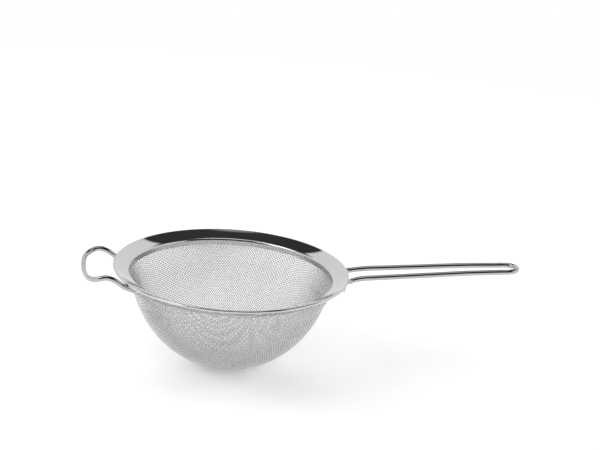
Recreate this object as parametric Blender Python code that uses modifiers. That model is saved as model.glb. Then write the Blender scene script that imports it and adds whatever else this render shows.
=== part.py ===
"""Fine-mesh strainer: a woven wire bowl in a pressed steel rim, with a hairpin handle and a rest loop.

The bowl hangs under a wide sloping rim whose outer edge is rolled into a hem and whose inner edge
turns down into a collar.  A conical clamp ring under the rim backs the edge of the cloth and carries
the ends of the two bent wires: the long hairpin handle on the +X side and the rest loop on the -X side.

Frame: metres, +Z up, +X towards the handle.  The origin is the lowest point of the bowl, and the
object is symmetric about the XZ plane.
"""
import math

import bmesh
import bpy

MM = 0.001

# Driving dimensions, in millimetres
RIM_RADIUS = 100.0          # outside of the rolled hem
RIM_HEIGHT = 87.2           # crest of the hem above the lowest point of the bowl
SHEET = 0.7                 # thickness of the rim sheet
FLANGE_SLOPE = 22.0         # degrees, the rim rises outwards
HEM_RADIUS = 1.2            # outside radius of the rolled edge
COLLAR_BORE = 85.9          # inside radius of the collar
COLLAR_DEPTH = 10.2         # foot of the collar below the crest of the hem
CORNER_RADIUS = 2.2         # rounded edge between flange and collar
CLOTH = 0.7                 # thickness of the woven cloth
CLOTH_RADIUS = 86.85        # middle of the cloth, from the centre of the rim to the bottom
CLOTH_WAIST = 2.4           # how far the cloth lies inside that sphere below the collar
CLOTH_EDGE = 6.6            # upper edge of the cloth below the crest of the hem
REST_RADIUS = 6.0           # flattened spot that the bowl stands on
RING_SHEET = 0.65           # thickness of the clamp ring
WIRE = 4.5                  # diameter of the handle wire and the loop wire
GAP = 0.3                   # clearance kept between pieces that touch
HANDLE_TIP = 251.9          # centre of the wire at the far end of the handle
LOOP_TIP = 124.4            # centre of the wire at the outer bar of the rest loop
LOOP_HALF = 35.4            # half the spacing of the rest loop's legs

TURN_STEPS = 64
WIRE_SIDES = 4              # bevel resolution of the wires
SLOPE = math.tan(math.radians(FLANGE_SLOPE))
NORMAL = (-math.sin(math.radians(FLANGE_SLOPE)), math.cos(math.radians(FLANGE_SLOPE)))


def reset_scene():
    for obj in list(bpy.data.objects):
        bpy.data.objects.remove(obj)


def make_collection(name):
    collection = bpy.data.collections.new(name)
    bpy.context.scene.collection.children.link(collection)
    return collection


def steel(name, grey, roughness):
    """Stainless steel as one Principled material."""
    material = bpy.data.materials.new(name)
    material.use_nodes = True
    shader = material.node_tree.nodes["Principled BSDF"]
    shader.inputs["Base Color"].default_value = (grey, grey, grey * 1.01, 1.0)
    shader.inputs["Metallic"].default_value = 1.0
    shader.inputs["Roughness"].default_value = roughness
    return material


def arc(centre, radius, start, end, steps):
    """Points on an arc in the radius-height plane, angles in degrees from straight outwards."""
    points = []
    for i in range(steps + 1):
        angle = math.radians(start + (end - start) * i / steps)
        points.append((centre[0] + radius * math.cos(angle), centre[1] + radius * math.sin(angle)))
    return points


def turned(name, outline, material, collection):
    """A ring or bowl turned about the Z axis from (radius, height) points given in millimetres.

    Heights are measured from the crest of the hem.
    """
    mesh = bpy.data.meshes.new(name)
    bm = bmesh.new()
    verts = [bm.verts.new((r * MM, 0.0, (RIM_HEIGHT + h) * MM)) for r, h in outline]
    count = len(verts) if outline[0][0] > 0.0 else len(verts) - 1
    for i in range(count):
        bm.edges.new((verts[i], verts[(i + 1) % len(verts)]))
    bm.to_mesh(mesh)
    bm.free()
    obj = bpy.data.objects.new(name, mesh)
    collection.objects.link(obj)
    screw = obj.modifiers.new("Turn", "SCREW")
    screw.steps = TURN_STEPS
    screw.render_steps = TURN_STEPS
    screw.use_merge_vertices = True
    screw.merge_threshold = 0.00001
    screw.use_smooth_shade = True
    mesh.materials.append(material)
    return obj


def smooth_step(value):
    t = min(max(value, 0.0), 1.0)
    return t * t * (3.0 - 2.0 * t)


def cloth_distance(angle):
    """Distance of the cloth's middle from the centre of the rim, at an angle from straight down.

    The cloth is close to a half sphere.  It is drawn in a little on its way up, and flares out
    again where it meets the collar.
    """
    drawn_in = CLOTH_WAIST * smooth_step(angle / 65.0)
    flare = (CLOTH_WAIST + 1.0) * smooth_step((angle - 72.0) / 11.3)
    return CLOTH_RADIUS - drawn_in + flare


def cloth_side(offset, angles):
    """Points down the cloth, offset from its middle, from the collar to near the bottom."""
    points = []
    for angle in angles:
        distance = cloth_distance(angle) + offset
        a = math.radians(angle)
        points.append((distance * math.sin(a), -distance * math.cos(a)))
    return points


def cloth_outline():
    """Closed outline of the cloth: down the outside, across the bottom, and up the inside."""
    half = CLOTH / 2.0
    skirt = COLLAR_BORE + SHEET + GAP + half
    top_angle = 83.3
    steps = 13
    angles = [top_angle - (top_angle - 6.0) * i / steps for i in range(steps + 1)]
    bottom = -RIM_HEIGHT
    outline = [(skirt + half, -CLOTH_EDGE)]
    outline += cloth_side(half, angles)
    outline += [(REST_RADIUS, bottom), (0.0, bottom), (0.0, bottom + CLOTH)]
    outline += list(reversed(cloth_side(-half, angles)))
    outline += [(skirt - half, -CLOTH_EDGE)]
    return outline


def hem_centre():
    return (RIM_RADIUS - HEM_RADIUS, -HEM_RADIUS)


def flange_height(radius, depth=0.0):
    """Height of the flange's upper face, or of a face `depth` below it, at a radius."""
    centre = hem_centre()
    tangent = (centre[0] + HEM_RADIUS * NORMAL[0], centre[1] + HEM_RADIUS * NORMAL[1])
    return tangent[1] - (tangent[0] - radius) * SLOPE - depth / NORMAL[1]


def rim_outline():
    """Closed outline of the rim sheet: hem, flange, rounded corner and collar.

    It runs down the outside of the rolled edge, back through the inside of the roll, along the
    underside of the flange, down the outside of the collar and up its inside to the flange's top.
    """
    hem = hem_centre()
    corner_r = COLLAR_BORE + CORNER_RADIUS
    corner = (corner_r, flange_height(corner_r, CORNER_RADIUS))
    tangent = 90.0 + FLANGE_SLOPE
    curl_end = -140.0
    outer_roll = arc(hem, HEM_RADIUS, tangent, curl_end, 12)
    inner_roll = arc(hem, HEM_RADIUS - SHEET, curl_end, tangent, 7)
    under_corner = arc(corner, CORNER_RADIUS - SHEET, tangent, 180.0, 2)
    collar = [(COLLAR_BORE + SHEET, -COLLAR_DEPTH), (COLLAR_BORE, -COLLAR_DEPTH)]
    upper_corner = arc(corner, CORNER_RADIUS, 180.0, tangent, 4)
    return outer_roll + inner_roll + under_corner + collar + upper_corner


def ring_underside(radius):
    """Height of the clamp ring's lower face at a radius."""
    outer_r = 97.2
    return -3.2 - (outer_r - radius) * 0.435


def ring_outline():
    """Closed outline of the conical ring between the cloth's edge and the hem."""
    inner_r = COLLAR_BORE + SHEET + GAP + CLOTH + GAP
    outer_r = 97.2
    rise = RING_SHEET * math.hypot(1.0, 0.435)
    return [
        (outer_r, ring_underside(outer_r) + rise),
        (outer_r, ring_underside(outer_r)),
        (inner_r, ring_underside(inner_r)),
        (inner_r, ring_underside(inner_r) + rise),
    ]


def smooth_route(points, spacing):
    """Evenly stepped points on a centripetal Catmull-Rom curve through the given points."""
    ends = [[2 * a - b for a, b in zip(points[0], points[1])]]
    tail = [[2 * a - b for a, b in zip(points[-1], points[-2])]]
    knots = ends + [list(p) for p in points] + tail
    route = []
    for i in range(1, len(knots) - 2):
        span = math.dist(knots[i], knots[i + 1])
        steps = max(1, round(span / spacing))
        for k in range(steps):
            route.append(catmull_rom(knots[i - 1:i + 3], k / steps))
    route.append(list(points[-1]))
    return route


def catmull_rom(four, u):
    """Point at 0 <= u <= 1 between the middle two of four points, with centripetal spacing."""
    times = [0.0]
    for a, b in zip(four, four[1:]):
        times.append(times[-1] + math.sqrt(math.dist(a, b)))
    t = times[1] + (times[2] - times[1]) * u
    layer = [list(p) for p in four]
    for width in (1, 2, 3):
        for i in range(len(layer) - 1):
            low, high = spline_times(times, i, width)
            layer[i] = blend_points(layer[i], layer[i + 1], (t - low) / (high - low))
        layer = layer[:-1]
    return layer[0]


def spline_times(times, index, width):
    if width == 1:
        return times[index], times[index + 1]
    if width == 2:
        return times[index], times[index + 2]
    return times[1], times[2]


def blend_points(a, b, share):
    return [x + (y - x) * share for x, y in zip(a, b)]


def wire(name, half_route, spacing, material, collection):
    """A round wire bent symmetrically about the XZ plane, from the +Y half of its centre line."""
    mirrored = [(x, -y, h) for x, y, h in reversed(half_route[:-1])]
    route = smooth_route(half_route + mirrored, spacing)
    curve = bpy.data.curves.new(name, "CURVE")
    curve.dimensions = "3D"
    curve.bevel_depth = WIRE / 2.0 * MM
    curve.bevel_resolution = WIRE_SIDES
    curve.use_fill_caps = True
    spline = curve.splines.new("POLY")
    spline.points.add(len(route) - 1)
    for point, (x, y, h) in zip(spline.points, route):
        point.co = (x * MM, y * MM, (RIM_HEIGHT + h) * MM, 1.0)
    spline.use_smooth = True
    obj = bpy.data.objects.new(name, curve)
    collection.objects.link(obj)
    curve.materials.append(material)
    return obj


def foot_height(radius):
    """Height of a wire's centre where it lies against the clamp ring."""
    return ring_underside(radius) - (WIRE / 2.0 + GAP) * math.hypot(1.0, 0.435)


def leg_height(x):
    """Height of the handle wire: a straight rise that sags near the rim and towards the tip."""
    near_rim = 0.4 * smooth_step((122.0 - x) / 14.0) + 0.3 * smooth_step((230.0 - x) / 110.0)
    near_tip = 0.85 * smooth_step((x - 199.0) / 50.0)
    return -4.8 + 0.047 * (x - 100.0) - near_rim - near_tip


def handle_route():
    """Half of the hairpin handle: a foot along the clamp ring, a leg, and the round tip."""
    foot_r = 96.3
    foot = []
    for angle in (20.5, 16.5, 12.6):
        a = math.radians(angle)
        foot.append((foot_r * math.cos(a), foot_r * math.sin(a), foot_height(foot_r)))
    bend = [(96.8, 16.6, foot_height(foot_r)), (101.0, 13.3, -6.9), (105.5, 11.7, -5.9)]
    leg = []
    for x in (112.0, 122.0, 135.0, 165.0, 200.0, 218.0, 235.0, 243.8):
        half = 11.6 - 0.0245 * abs(x - 122.0)
        leg.append((x, half, leg_height(x)))
    tip_r = 8.15
    tip = []
    for angle in (62.0, 36.0, 0.0):
        a = math.radians(angle)
        x = HANDLE_TIP - tip_r + tip_r * math.cos(a)
        tip.append((x, tip_r * math.sin(a), leg_height(x)))
    return foot + bend + leg + tip


def loop_route():
    """Half of the rest loop: an end under the rim, a rising leg, and a bar that hooks down."""
    inner_x = -84.5
    inner = (inner_x, LOOP_HALF, foot_height(math.hypot(inner_x, LOOP_HALF)))
    contact_x = -89.6
    contact = (contact_x, LOOP_HALF, foot_height(math.hypot(contact_x, LOOP_HALF)))
    leg = [
        (-93.4, LOOP_HALF, -4.95),
        (-97.4, LOOP_HALF, -2.0),
        (-103.2, LOOP_HALF, 1.6),
        (-109.0, LOOP_HALF, 3.1),
        (-114.5, 34.9, 1.9),
    ]
    bar = [
        (-118.9, 31.6, 0.3),
        (-121.9, 25.5, -0.9),
        (-123.8, 14.0, -2.2),
        (-LOOP_TIP, 0.0, -3.0),
    ]
    return [inner, contact] + leg + bar


def build():
    reset_scene()
    parts = make_collection("strainer")
    polished = steel("polished_steel", 0.72, 0.12)
    pressed = steel("pressed_steel", 0.60, 0.28)
    drawn = steel("drawn_wire", 0.70, 0.10)
    looped = steel("loop_wire", 0.68, 0.12)
    woven = steel("woven_wire", 0.55, 0.35)
    turned("rim", rim_outline(), polished, parts)
    turned("clamp_ring", ring_outline(), pressed, parts)
    turned("mesh_bowl", cloth_outline(), woven, parts)
    wire("handle", handle_route(), 4.0, drawn, parts)
    wire("rest_loop", loop_route(), 2.6, looped, parts)


build()
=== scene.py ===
"""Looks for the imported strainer: polished rim, bent wires and real woven cloth, on a white floor.

Everything is in metres in the CAD's frame: +Z up, +X towards the handle, origin at the lowest
point of the bowl.  Profiles are written in millimetres as (radius, height), with heights measured
from the crest of the rim's hem, as they are in the CAD.
"""

import math

import bpy
import numpy as np
from mathutils import Matrix


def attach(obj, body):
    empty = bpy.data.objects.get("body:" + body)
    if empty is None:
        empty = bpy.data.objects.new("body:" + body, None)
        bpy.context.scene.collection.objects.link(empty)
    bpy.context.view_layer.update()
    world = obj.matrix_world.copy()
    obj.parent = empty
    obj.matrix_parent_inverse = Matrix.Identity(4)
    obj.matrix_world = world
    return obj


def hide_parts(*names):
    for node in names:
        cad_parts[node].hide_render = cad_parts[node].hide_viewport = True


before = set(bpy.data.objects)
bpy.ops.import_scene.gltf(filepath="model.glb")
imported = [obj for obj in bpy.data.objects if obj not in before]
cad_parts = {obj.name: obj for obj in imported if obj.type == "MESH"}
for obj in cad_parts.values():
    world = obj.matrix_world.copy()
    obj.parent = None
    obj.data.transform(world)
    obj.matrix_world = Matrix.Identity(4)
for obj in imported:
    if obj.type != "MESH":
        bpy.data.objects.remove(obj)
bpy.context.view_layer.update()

MM = 0.001
BODY = "root"

# The same sizes as the CAD, in millimetres
RIM_RADIUS = 100.0
RIM_HEIGHT = 87.2
SHEET = 0.7
FLANGE_SLOPE = 22.0
HEM_RADIUS = 1.2
FLARE = 0.6                 # degrees of slope gained per millimetre outwards
COLLAR_BORE = 85.9
COLLAR_DEPTH = 10.2
CORNER_RADIUS = 2.2
RING_SHEET = 0.65
RING_OUTER = 97.2
RING_INNER = 87.9
RING_SLOPE = 0.435
WIRE = 4.5
GAP = 0.3
HANDLE_TIP = 251.9          # centre of the wire at the far end
LOOP_HALF = 35.4            # half the spacing of the loop's legs

# The woven cloth
PITCH = 1.68                # from wire to wire
CLOTH_WIRE = 0.52           # diameter
WARP_CRIMP = 0.70           # the warp's share of the wire that each crossing has to clear
WEAVE_TURN = math.radians(43.0)
CLOTH_EDGE = 6.6            # upper edge below the crest of the hem
SKIRT_RADIUS = 87.25        # where the cloth stands behind the collar
BOWL_RADIUS = 86.7


# ---------------------------------------------------------------- meshes

def mesh_object(name, points, faces, materials, node, slots=None, sharp=None):
    """A smooth mesh from points in metres and arrays of faces, riding on the body.

    `faces` is a list of arrays, each of faces with one number of corners.
    """
    mesh = bpy.data.meshes.new(name)
    mesh.vertices.add(len(points))
    mesh.vertices.foreach_set("co", np.asarray(points, dtype=np.float32).ravel())
    corners = np.concatenate([f.ravel() for f in faces])
    sizes = np.concatenate([np.full(len(f), f.shape[1]) for f in faces])
    starts = np.concatenate([[0], np.cumsum(sizes)[:-1]])
    mesh.loops.add(len(corners))
    mesh.loops.foreach_set("vertex_index", corners.astype(np.int32))
    mesh.polygons.add(len(sizes))
    mesh.polygons.foreach_set("loop_start", starts.astype(np.int32))
    mesh.polygons.foreach_set("use_smooth", np.ones(len(sizes), dtype=bool))
    for material in materials:
        mesh.materials.append(material)
    if slots is not None:
        mesh.polygons.foreach_set("material_index", np.concatenate(slots).astype(np.int32))
    mesh.update(calc_edges=True)
    mesh.validate()
    if sharp is not None:
        mesh.set_sharp_from_angle(angle=math.radians(sharp))
    obj = bpy.data.objects.new(name, mesh)
    bpy.context.scene.collection.objects.link(obj)
    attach(obj, BODY)
    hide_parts(node)
    return obj


def strip_faces(rows, columns, close_rows=False, close_columns=True, offset=0):
    """Quads between the points of a grid of rows x columns."""
    r = np.arange(rows if close_rows else rows - 1)
    c = np.arange(columns if close_columns else columns - 1)
    r, c = np.meshgrid(r, c, indexing="ij")
    r2, c2 = (r + 1) % rows, (c + 1) % columns
    quads = np.stack([r * columns + c, r * columns + c2, r2 * columns + c2, r2 * columns + c], -1)
    return quads.reshape(-1, 4) + offset


def arc(centre, radius, start, end, steps):
    """Points on an arc in the radius-height plane, angles in degrees from straight outwards."""
    a = np.radians(np.linspace(start, end, steps + 1))
    return np.stack([centre[0] + radius * np.cos(a), centre[1] + radius * np.sin(a)], -1)


def turned(name, outline, steps, materials, node, sharp):
    """A ring turned about Z from a closed outline in millimetres."""
    turn = np.linspace(0.0, 2.0 * math.pi, steps, endpoint=False)
    r, h = outline[:, 0][:, None], outline[:, 1][:, None]
    points = np.stack([r * np.cos(turn), r * np.sin(turn), RIM_HEIGHT + h + 0.0 * turn], -1) * MM
    faces = strip_faces(len(outline), steps, close_rows=True)
    return mesh_object(name, points.reshape(-1, 3), [faces], materials, node, sharp=sharp)


# ---------------------------------------------------------------- rim and clamp ring

def flange_curve(inner, outer, steps):
    """Points between the two ends of a flange face, sagging a little between them.

    The real flange flares: it is flatter by the collar and steeper by the hem.
    """
    share = np.linspace(0.0, 1.0, steps + 2)[1:-1, None]
    line = inner + (outer - inner) * share
    length = np.linalg.norm(outer - inner)
    sag = 4.0 * share * (1.0 - share) * math.radians(FLARE * length) * length / 8.0
    return line - sag * (-math.sin(math.radians(FLANGE_SLOPE)), math.cos(math.radians(FLANGE_SLOPE)))


def rim_outline():
    """Hem, flange, rounded corner and collar of the rim sheet."""
    slope = math.radians(FLANGE_SLOPE)
    hem = (RIM_RADIUS - HEM_RADIUS, -HEM_RADIUS)
    top = (hem[0] - HEM_RADIUS * math.sin(slope), hem[1] + HEM_RADIUS * math.cos(slope))
    corner_r = COLLAR_BORE + CORNER_RADIUS
    corner_h = top[1] - (top[0] - corner_r) * math.tan(slope) - CORNER_RADIUS / math.cos(slope)
    corner = (corner_r, corner_h)
    tangent = 90.0 + FLANGE_SLOPE
    curl_end = -140.0
    edge = 0.12
    foot = np.array([
        (COLLAR_BORE + SHEET, -COLLAR_DEPTH + edge), (COLLAR_BORE + SHEET - edge, -COLLAR_DEPTH),
        (COLLAR_BORE + edge, -COLLAR_DEPTH), (COLLAR_BORE, -COLLAR_DEPTH + edge),
    ])
    roll = arc(hem, HEM_RADIUS, tangent, curl_end, 40)
    inner_roll = arc(hem, HEM_RADIUS - SHEET, curl_end, tangent, 20)
    under_corner = arc(corner, CORNER_RADIUS - SHEET, tangent, 180.0, 8)
    upper_corner = arc(corner, CORNER_RADIUS, 180.0, tangent, 16)
    underside = flange_curve(under_corner[0], inner_roll[-1], 24)[::-1]
    face = flange_curve(upper_corner[-1], roll[0], 24)
    return np.concatenate([roll, inner_roll, underside, under_corner, foot, upper_corner, face])


def ring_underside(radius):
    return -3.2 - (RING_OUTER - radius) * RING_SLOPE


def ring_outline():
    rise = RING_SHEET * math.hypot(1.0, RING_SLOPE)
    edge = 0.1
    return np.array([
        (RING_OUTER, ring_underside(RING_OUTER) + rise - edge),
        (RING_OUTER, ring_underside(RING_OUTER) + edge),
        (RING_OUTER - edge, ring_underside(RING_OUTER - edge)),
        (RING_INNER + edge, ring_underside(RING_INNER + edge)),
        (RING_INNER, ring_underside(RING_INNER) + edge),
        (RING_INNER, ring_underside(RING_INNER) + rise - edge),
        (RING_INNER + edge, ring_underside(RING_INNER + edge) + rise),
        (RING_OUTER - edge, ring_underside(RING_OUTER - edge) + rise),
    ])


# ---------------------------------------------------------------- bent wires

def smooth_route(points, spacing):
    """Points on the centripetal Catmull-Rom curve through the given points."""
    p = [np.array(q, dtype=float) for q in points]
    p = [2 * p[0] - p[1]] + p + [2 * p[-1] - p[-2]]
    route = []
    for a, b, c, d in zip(p, p[1:], p[2:], p[3:]):
        t0 = 0.0
        t1 = t0 + math.sqrt(np.linalg.norm(b - a))
        t2 = t1 + math.sqrt(np.linalg.norm(c - b))
        t3 = t2 + math.sqrt(np.linalg.norm(d - c))
        steps = max(2, round(float(np.linalg.norm(c - b)) / spacing))
        for t in t1 + (t2 - t1) * np.arange(steps) / steps:
            ab = a + (b - a) * (t - t0) / (t1 - t0)
            bc = b + (c - b) * (t - t1) / (t2 - t1)
            cd = c + (d - c) * (t - t2) / (t3 - t2)
            abc = ab + (bc - ab) * (t - t0) / (t2 - t0)
            bcd = bc + (cd - bc) * (t - t1) / (t3 - t1)
            route.append(abc + (bcd - abc) * (t - t1) / (t2 - t1))
    route.append(p[-2])
    return np.array(route)


def bent_wire(name, half_route, materials, node):
    """A round wire with slightly rounded cut ends, mirrored in the XZ plane."""
    sides = 28
    mirrored = [(x, -y, h) for x, y, h in reversed(half_route[:-1])]
    path = smooth_route(half_route + mirrored, 0.9)
    along = np.gradient(path, axis=0)
    along /= np.linalg.norm(along, axis=1)[:, None]
    radii = np.full(len(path), WIRE / 2.0)
    nose = 0.35
    start, end = path[0] - along[0] * nose, path[-1] + along[-1] * nose
    path = np.concatenate([[start], path, [end]])
    along = np.concatenate([along[:1], along, along[-1:]])
    radii = np.concatenate([[WIRE / 2.0 - nose], radii, [WIRE / 2.0 - nose]])
    up = np.array([0.0, 0.0, 1.0]) - along * along[:, 2:3]
    up /= np.linalg.norm(up, axis=1)[:, None]
    side = np.cross(along, up)
    turn = np.linspace(0.0, 2.0 * math.pi, sides, endpoint=False)
    ring = (np.cos(turn)[None, :, None] * up[:, None] + np.sin(turn)[None, :, None] * side[:, None])
    points = path[:, None] + ring * radii[:, None, None]
    points[..., 2] += RIM_HEIGHT
    faces = strip_faces(len(path), sides)
    first = np.arange(sides)[None, ::-1]
    last = np.arange(sides)[None] + (len(path) - 1) * sides
    caps = np.concatenate([first, last])
    return mesh_object(name, points.reshape(-1, 3) * MM, [faces[:, ::-1], caps[:, ::-1]], materials, node, sharp=40)


def foot_height(radius):
    return ring_underside(radius) - (WIRE / 2.0 + GAP) * math.hypot(1.0, RING_SLOPE)


def leg_height(x):
    """A straight rise that sags near the rim and towards the tip."""
    near_rim = 0.4 * float(smooth_step((122.0 - x) / 14.0))
    near_rim += 0.3 * float(smooth_step((230.0 - x) / 110.0))
    near_tip = 0.85 * float(smooth_step((x - 199.0) / 50.0))
    return -4.8 + 0.047 * (x - 100.0) - near_rim - near_tip


def handle_route():
    foot_r = 96.3
    foot = [(foot_r * math.cos(math.radians(a)), foot_r * math.sin(math.radians(a)), foot_height(foot_r))
            for a in (20.5, 16.5, 12.6)]
    bend = [(96.8, 16.6, foot_height(foot_r)), (101.0, 13.3, -6.9), (105.5, 11.7, -5.9)]
    leg = []
    for x in (112.0, 122.0, 135.0, 165.0, 200.0, 218.0, 235.0, 243.8):
        half = 11.6 - 0.0245 * abs(x - 122.0)
        leg.append((x, half, leg_height(x)))
    tip_r = 8.15
    tip = []
    for a in (62.0, 36.0, 0.0):
        x = HANDLE_TIP - tip_r + tip_r * math.cos(math.radians(a))
        tip.append((x, tip_r * math.sin(math.radians(a)), leg_height(x)))
    return foot + bend + leg + tip


def loop_route():
    half = LOOP_HALF
    inner = (-84.5, half, foot_height(math.hypot(84.5, half)))
    contact = (-89.6, half, foot_height(math.hypot(89.6, half)))
    leg = [(-93.4, half, -4.95), (-97.4, half, -2.0), (-103.2, half, 1.6), (-109.0, half, 3.1),
           (-114.5, 34.9, 1.9)]
    bar = [(-118.9, 31.6, 0.3), (-121.9, 25.5, -0.9), (-123.8, 14.0, -2.2), (-124.4, 0.0, -3.0)]
    return [inner, contact] + leg + bar


# ---------------------------------------------------------------- woven cloth

def smooth_step(t):
    t = np.clip(t, 0.0, 1.0)
    return t * t * (3.0 - 2.0 * t)


def cloth_distance(angle):
    """Distance of the cloth from the centre of the rim, at degrees from straight down."""
    bowl = BOWL_RADIUS - 2.4 * smooth_step(angle / 65.0) + 3.5 * smooth_step((angle - 72.0) / 11.3)
    skirt = SKIRT_RADIUS / np.sin(np.radians(np.clip(angle, 30.0, 90.0)))
    return np.where(angle > 83.3, skirt, bowl)


def cloth_net():
    """Crossings of a square-woven cloth laid over a sphere, as a grid of unit vectors.

    Every side of every mesh keeps its length while its angles shear, which is how flat cloth
    takes the shape of a bowl.  One quarter is built outwards from its two straight wires and
    then mirrored.
    """
    step = PITCH / BOWL_RADIUS
    size = int(math.radians(88.0) / step)
    net = np.full((size, size, 3), np.nan)
    k = np.arange(size) * step
    net[:, 0] = np.stack([np.sin(k), 0.0 * k, -np.cos(k)], -1)
    net[0, :] = np.stack([0.0 * k, np.sin(k), -np.cos(k)], -1)
    for total in range(2, 2 * size - 1):
        i = np.arange(max(1, total - size + 1), min(total - 1, size - 1) + 1)
        j = total - i
        a, b, c = net[i - 1, j], net[i, j - 1], net[i - 1, j - 1]
        normal = np.cross(a, b)
        normal /= np.linalg.norm(normal, axis=1)[:, None]
        new = c - 2.0 * (c * normal).sum(1)[:, None] * normal
        new[(a[:, 2] > 0.15) | (b[:, 2] > 0.15)] = np.nan
        net[i, j] = new
    whole = np.full((2 * size - 1, 2 * size - 1, 3), np.nan)
    for si in (1, -1):
        for sj in (1, -1):
            rows = size - 1 + si * np.arange(size)
            columns = size - 1 + sj * np.arange(size)
            whole[np.ix_(rows, columns)] = net * (si, sj, 1)
    return whole


def wire_path(crossings, rise):
    """Centre line of one cloth wire, over and under its neighbours, cut at the cloth's edge.

    `rise` is how far it stands out at the first crossing, and it goes in as far at the next.
    """
    valid = np.flatnonzero(~np.isnan(crossings[:, 0]))
    if len(valid) < 3:
        return None
    steps_per_pitch = 2
    s = np.arange(valid[0] + 0.25, valid[-1], 1.0 / steps_per_pitch)
    low = np.floor(s).astype(int)
    share = (s - low)[:, None]
    way = crossings[low] * (1.0 - share) + crossings[low + 1] * share
    way /= np.linalg.norm(way, axis=1)[:, None]
    angle = np.degrees(np.arccos(-way[:, 2]))
    crimp = rise / math.cos(math.pi / 4.0) * np.cos(math.pi * s)
    middle = way * cloth_distance(angle)[:, None]
    points = middle + way * crimp[:, None]
    inside = np.flatnonzero(middle[:, 2] < -CLOTH_EDGE)
    if len(inside) < 4:
        return None
    first, last = inside[0], inside[-1]
    kept = points[first:last + 1]
    normals = way[first:last + 1]
    for at, outer, front in ((first, first - 1, True), (last, last + 1, False)):
        if 0 <= outer < len(points):
            reach = (-CLOTH_EDGE - middle[at, 2]) / (middle[outer, 2] - middle[at, 2])
            if reach > 0.1:
                end = points[at] + (points[outer] - points[at]) * reach
                if front:
                    kept = np.concatenate([[end], kept])
                    normals = np.concatenate([way[outer:outer + 1], normals])
                else:
                    kept = np.concatenate([kept, [end]])
                    normals = np.concatenate([normals, way[outer:outer + 1]])
    return kept, normals


def cloth_piece(name, paths, materials):
    """One mesh of many thin wires."""
    sides = 6
    turn = np.linspace(0.0, 2.0 * math.pi, sides, endpoint=False)
    points, quads, caps, quad_slots, cap_slots = [], [], [], [], []
    offset = 0
    for number, (path, normal) in enumerate(paths):
        along = np.gradient(path, axis=0)
        along /= np.linalg.norm(along, axis=1)[:, None]
        normal = normal - along * (normal * along).sum(1)[:, None]
        normal /= np.linalg.norm(normal, axis=1)[:, None]
        side = np.cross(along, normal)
        ring = np.cos(turn)[None, :, None] * normal[:, None] + np.sin(turn)[None, :, None] * side[:, None]
        tube = path[:, None] + ring * CLOTH_WIRE / 2.0
        points.append(tube.reshape(-1, 3))
        strip = strip_faces(len(path), sides, offset=offset)[:, ::-1]
        quads.append(strip)
        ends = np.stack([np.arange(sides) + offset, np.arange(sides)[::-1] + offset + (len(path) - 1) * sides])
        caps.append(ends)
        slot = int(WIRE_TONES.integers(len(materials)))
        quad_slots.append(np.full(len(strip), slot))
        cap_slots.append(np.full(2, slot))
        offset += len(path) * sides
    points = np.concatenate(points) + (0.0, 0.0, RIM_HEIGHT)
    return mesh_object(name, points * MM, [np.concatenate(quads), np.concatenate(caps)], materials,
                       "mesh_bowl", slots=quad_slots + cap_slots)


WIRE_TONES = np.random.default_rng(7)


def weave(materials):
    net = cloth_net()
    c, s = math.cos(WEAVE_TURN), math.sin(WEAVE_TURN)
    turned_net = np.stack([c * net[..., 0] - s * net[..., 1], s * net[..., 0] + c * net[..., 1], net[..., 2]], -1)
    bands = 4
    for family, grid, rise in (("warp", turned_net, WARP_CRIMP * CLOTH_WIRE),
                               ("weft", turned_net.transpose(1, 0, 2), (WARP_CRIMP - 1.0) * CLOTH_WIRE)):
        paths = []
        for number, crossings in enumerate(grid):
            path = wire_path(crossings, rise * (-1.0) ** number)
            if path is not None:
                paths.append(path)
        total = np.cumsum([len(p[0]) for p in paths])
        for band in range(bands):
            inside = (total > total[-1] * band / bands) & (total <= total[-1] * (band + 1) / bands)
            cloth_piece(f"cloth_{family}_{band + 1}", [paths[k] for k in np.flatnonzero(inside)], materials)


# ---------------------------------------------------------------- materials

def steel(name, grey, roughness):
    """Plain stainless steel with constant values."""
    material = bpy.data.materials.new(name)
    material.use_nodes = True
    shader = material.node_tree.nodes["Principled BSDF"]
    shader.inputs["Base Color"].default_value = (grey, grey, grey * 1.01, 1.0)
    shader.inputs["Metallic"].default_value = 1.0
    shader.inputs["Roughness"].default_value = roughness
    return material


def add(tree, kind, **inputs):
    node = tree.nodes.new(kind)
    for key, value in inputs.items():
        node.inputs[key].default_value = value
    return node


def worked_steel(name, grey, roughness, spread, grain, bump):
    """Steel whose roughness drifts in soft patches and fine grain, with a faint uneven surface."""
    material = steel(name, grey, roughness)
    tree = material.node_tree
    shader = tree.nodes["Principled BSDF"]
    place = add(tree, "ShaderNodeTexCoord")
    patches = add(tree, "ShaderNodeTexNoise", Scale=grain[0], Detail=3.0, Roughness=0.55)
    fine = add(tree, "ShaderNodeTexNoise", Scale=grain[1], Detail=2.0, Roughness=0.6)
    mix = add(tree, "ShaderNodeMix")
    mix.inputs[0].default_value = 0.35
    to_rough = add(tree, "ShaderNodeMapRange")
    to_rough.inputs["From Min"].default_value = 0.3
    to_rough.inputs["From Max"].default_value = 0.7
    to_rough.inputs["To Min"].default_value = roughness - spread
    to_rough.inputs["To Max"].default_value = roughness + spread
    waves = add(tree, "ShaderNodeBump", Strength=bump[0], Distance=bump[1])
    link = tree.links.new
    link(place.outputs["Object"], patches.inputs["Vector"])
    link(place.outputs["Object"], fine.inputs["Vector"])
    link(patches.outputs[0], mix.inputs[2])
    link(fine.outputs[0], mix.inputs[3])
    link(mix.outputs[0], to_rough.inputs["Value"])
    link(to_rough.outputs[0], shader.inputs["Roughness"])
    link(patches.outputs[0], waves.inputs["Height"])
    link(waves.outputs[0], shader.inputs["Normal"])
    return material


# ---------------------------------------------------------------- camera, floor and light

WALL = 0.92                 # brightness of the white walls
TOP = 0.95                  # brightness of the panel overhead
DARK_SIDE = math.radians(-93.0)


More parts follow.
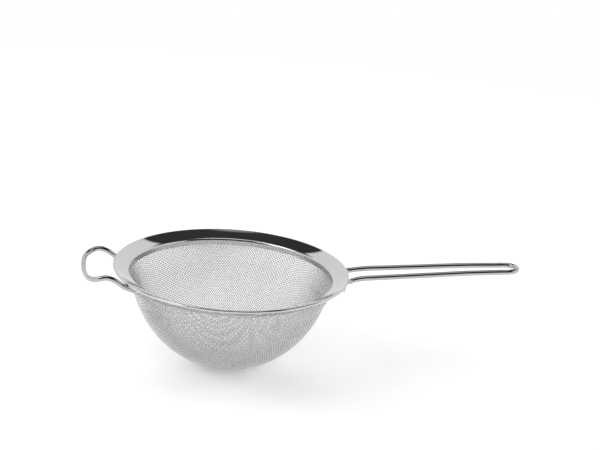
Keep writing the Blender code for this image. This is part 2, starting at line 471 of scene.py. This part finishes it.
def make_camera():
    yaw, pitch, roll = 0.2059, 0.3259, -0.0801
    across = np.array([math.cos(yaw), -math.sin(yaw), 0.0])
    rise = np.array([math.sin(pitch) * math.sin(yaw), math.sin(pitch) * math.cos(yaw), math.cos(pitch)])
    forward = np.array([math.cos(pitch) * math.sin(yaw), math.cos(pitch) * math.cos(yaw), -math.sin(pitch)])
    right = math.cos(roll) * across - math.sin(roll) * rise
    up = math.sin(roll) * across + math.cos(roll) * rise
    centre = np.array([0.0, 0.0, RIM_HEIGHT * MM])
    aside, above, distance = 0.0580, 0.0359, 1.5
    place = centre + aside * right + above * up - distance * forward
    data = bpy.data.cameras.new("camera")
    data.lens = 106.3
    data.sensor_width = 36.0
    data.clip_start = 0.05
    data.clip_end = 200.0
    camera = bpy.data.objects.new("camera", data)
    matrix = Matrix.Identity(4)
    for row in range(3):
        matrix[row][0], matrix[row][1] = right[row], up[row]
        matrix[row][2], matrix[row][3] = -forward[row], place[row]
    camera.matrix_world = matrix
    bpy.context.scene.collection.objects.link(camera)
    bpy.context.scene.camera = camera


def make_floor():
    """A pale disc that ends where the lights do; the white walls carry on from there."""
    reach, sides = 1.15, 96
    turn = np.linspace(0.0, 2.0 * math.pi, sides, endpoint=False)
    mesh = bpy.data.meshes.new("floor")
    mesh.from_pydata([(reach * math.cos(t), reach * math.sin(t), 0.0) for t in turn], [], [range(sides)])
    floor = bpy.data.objects.new("floor", mesh)
    floor.location.z = -0.0002
    bpy.context.scene.collection.objects.link(floor)
    material = bpy.data.materials.new("floor")
    material.use_nodes = True
    shader = material.node_tree.nodes["Principled BSDF"]
    shader.inputs["Base Color"].default_value = (0.9, 0.9, 0.9, 1.0)
    shader.inputs["Roughness"].default_value = 0.9
    shader.inputs["Specular IOR Level"].default_value = 0.1
    shader.inputs["Emission Color"].default_value = (1.0, 1.0, 1.0, 1.0)
    shader.inputs["Emission Strength"].default_value = 0.12
    mesh.materials.append(material)


def math_node(tree, operation, first, second=None):
    """A Math node fed by links or numbers; gives its output."""
    node = tree.nodes.new("ShaderNodeMath")
    node.operation = operation
    for socket, value in zip(node.inputs, (first, second)):
        if isinstance(value, (int, float)):
            socket.default_value = value
        elif value is not None:
            tree.links.new(value, socket)
    return node.outputs[0]


def between(tree, value, low, high):
    """0 below low and 1 above high, or the other way round, with a soft step between."""
    node = tree.nodes.new("ShaderNodeMapRange")
    node.interpolation_type = "SMOOTHSTEP"
    node.inputs["From Min"].default_value = low
    node.inputs["From Max"].default_value = high
    tree.links.new(value, node.inputs["Value"])
    return node.outputs["Result"]


def make_world():
    """White walls at the back and sides, a dim top panel, and the dark room on the camera's side."""
    world = bpy.data.worlds.new("studio")
    world.use_nodes = True
    bpy.context.scene.world = world
    tree = world.node_tree
    link = tree.links.new
    place = add(tree, "ShaderNodeTexCoord")
    split = add(tree, "ShaderNodeSeparateXYZ")
    link(place.outputs["Generated"], split.inputs[0])
    height = split.outputs["Z"]

    ramp = add(tree, "ShaderNodeValToRGB")
    stops = ramp.color_ramp
    stops.elements[0].position, stops.elements[0].color = 0.0, (1.0, 1.0, 1.0, 1.0)
    stops.elements[1].position, stops.elements[1].color = 1.0, (TOP, TOP, TOP, 1.0)
    for position, value in ((0.10, WALL), (0.668, WALL), (0.684, 0.04), (0.915, 0.045), (0.96, TOP)):
        element = stops.elements.new(position)
        element.color = (value, value, value, 1.0)
    link(height, ramp.inputs[0])

    toward = add(tree, "ShaderNodeVectorMath")
    toward.operation = "DOT_PRODUCT"
    toward.inputs[1].default_value = (math.cos(DARK_SIDE), math.sin(DARK_SIDE), 0.0)
    link(place.outputs["Generated"], toward.inputs[0])
    level = math_node(tree, "SQRT", math_node(tree, "SUBTRACT", 1.0, math_node(tree, "MULTIPLY", height, height)))
    ratio = math_node(tree, "DIVIDE", toward.outputs["Value"], math_node(tree, "MAXIMUM", level, 0.01))
    sector = between(tree, ratio, 0.58, 0.68)
    above = between(tree, height, 0.07, 0.11)
    below = between(tree, height, 0.84, 0.78)
    dark = math_node(tree, "MULTIPLY", sector, math_node(tree, "MULTIPLY", above, below))

    mix = tree.nodes.new("ShaderNodeMix")
    mix.data_type = "RGBA"
    link(dark, mix.inputs[0])
    link(ramp.outputs[0], mix.inputs[6])
    mix.inputs[7].default_value = (0.02, 0.02, 0.02, 1.0)
    link(mix.outputs[2], tree.nodes["Background"].inputs["Color"])


def make_lights():
    data = bpy.data.lights.new("softbox", "AREA")
    data.shape = "SQUARE"
    data.size = 0.9
    radiance = 2.0
    data.energy = radiance * math.pi * data.size ** 2
    light = bpy.data.objects.new("softbox", data)
    elevation, azimuth, reach = math.radians(52.0), math.radians(190.0), 1.6
    toward = np.array([math.cos(elevation) * math.cos(azimuth), math.cos(elevation) * math.sin(azimuth),
                       math.sin(elevation)])
    light.location = toward * reach + (0.0, 0.0, RIM_HEIGHT * MM)
    light.rotation_euler = (0.0, math.pi / 2.0 - elevation, azimuth)
    bpy.context.scene.collection.objects.link(light)

    # Seen by the floor only: the steel mirrors the white walls instead
    elevation, reach = math.radians(24.0), 1.5
    for number, (azimuth, radiance) in enumerate(((180.0, 3.2), (90.0, 2.7), (270.0, 2.7), (0.0, 2.5))):
        data = bpy.data.lights.new(f"floor_light_{number + 1}", "AREA")
        data.shape = "SQUARE"
        data.size = 1.0
        data.energy = radiance * math.pi * data.size ** 2
        light = bpy.data.objects.new(data.name, data)
        turn = math.radians(azimuth)
        light.location = (reach * math.cos(elevation) * math.cos(turn),
                          reach * math.cos(elevation) * math.sin(turn), reach * math.sin(elevation))
        light.rotation_euler = (0.0, math.pi / 2.0 - elevation, turn)
        light.visible_glossy = False
        light.visible_camera = False
        bpy.context.scene.collection.objects.link(light)


bpy.context.scene.view_settings.view_transform = "Standard"
make_camera()
make_floor()
make_world()
make_lights()

POLISHED = worked_steel("polished_steel", 0.63, 0.05, 0.015, (35.0, 900.0), (0.02, 0.0002))
PRESSED = worked_steel("pressed_steel", 0.60, 0.28, 0.06, (60.0, 1400.0), (0.10, 0.0004))
DRAWN = worked_steel("drawn_wire", 0.48, 0.07, 0.02, (80.0, 1600.0), (0.02, 0.0002))
CLOTH_STEELS = [steel(f"cloth_wire_{k + 1}", grey, rough)
                for k, (grey, rough) in enumerate(((0.71, 0.18), (0.68, 0.20), (0.65, 0.22)))]

turned("rim_sheet", rim_outline(), 360, [POLISHED], "rim", 35)
turned("clamp_ring_sheet", ring_outline(), 240, [PRESSED], "clamp_ring", 35)
bent_wire("handle_wire", handle_route(), [DRAWN], "handle")
bent_wire("rest_loop_wire", loop_route(), [DRAWN], "rest_loop")
weave(CLOTH_STEELS)
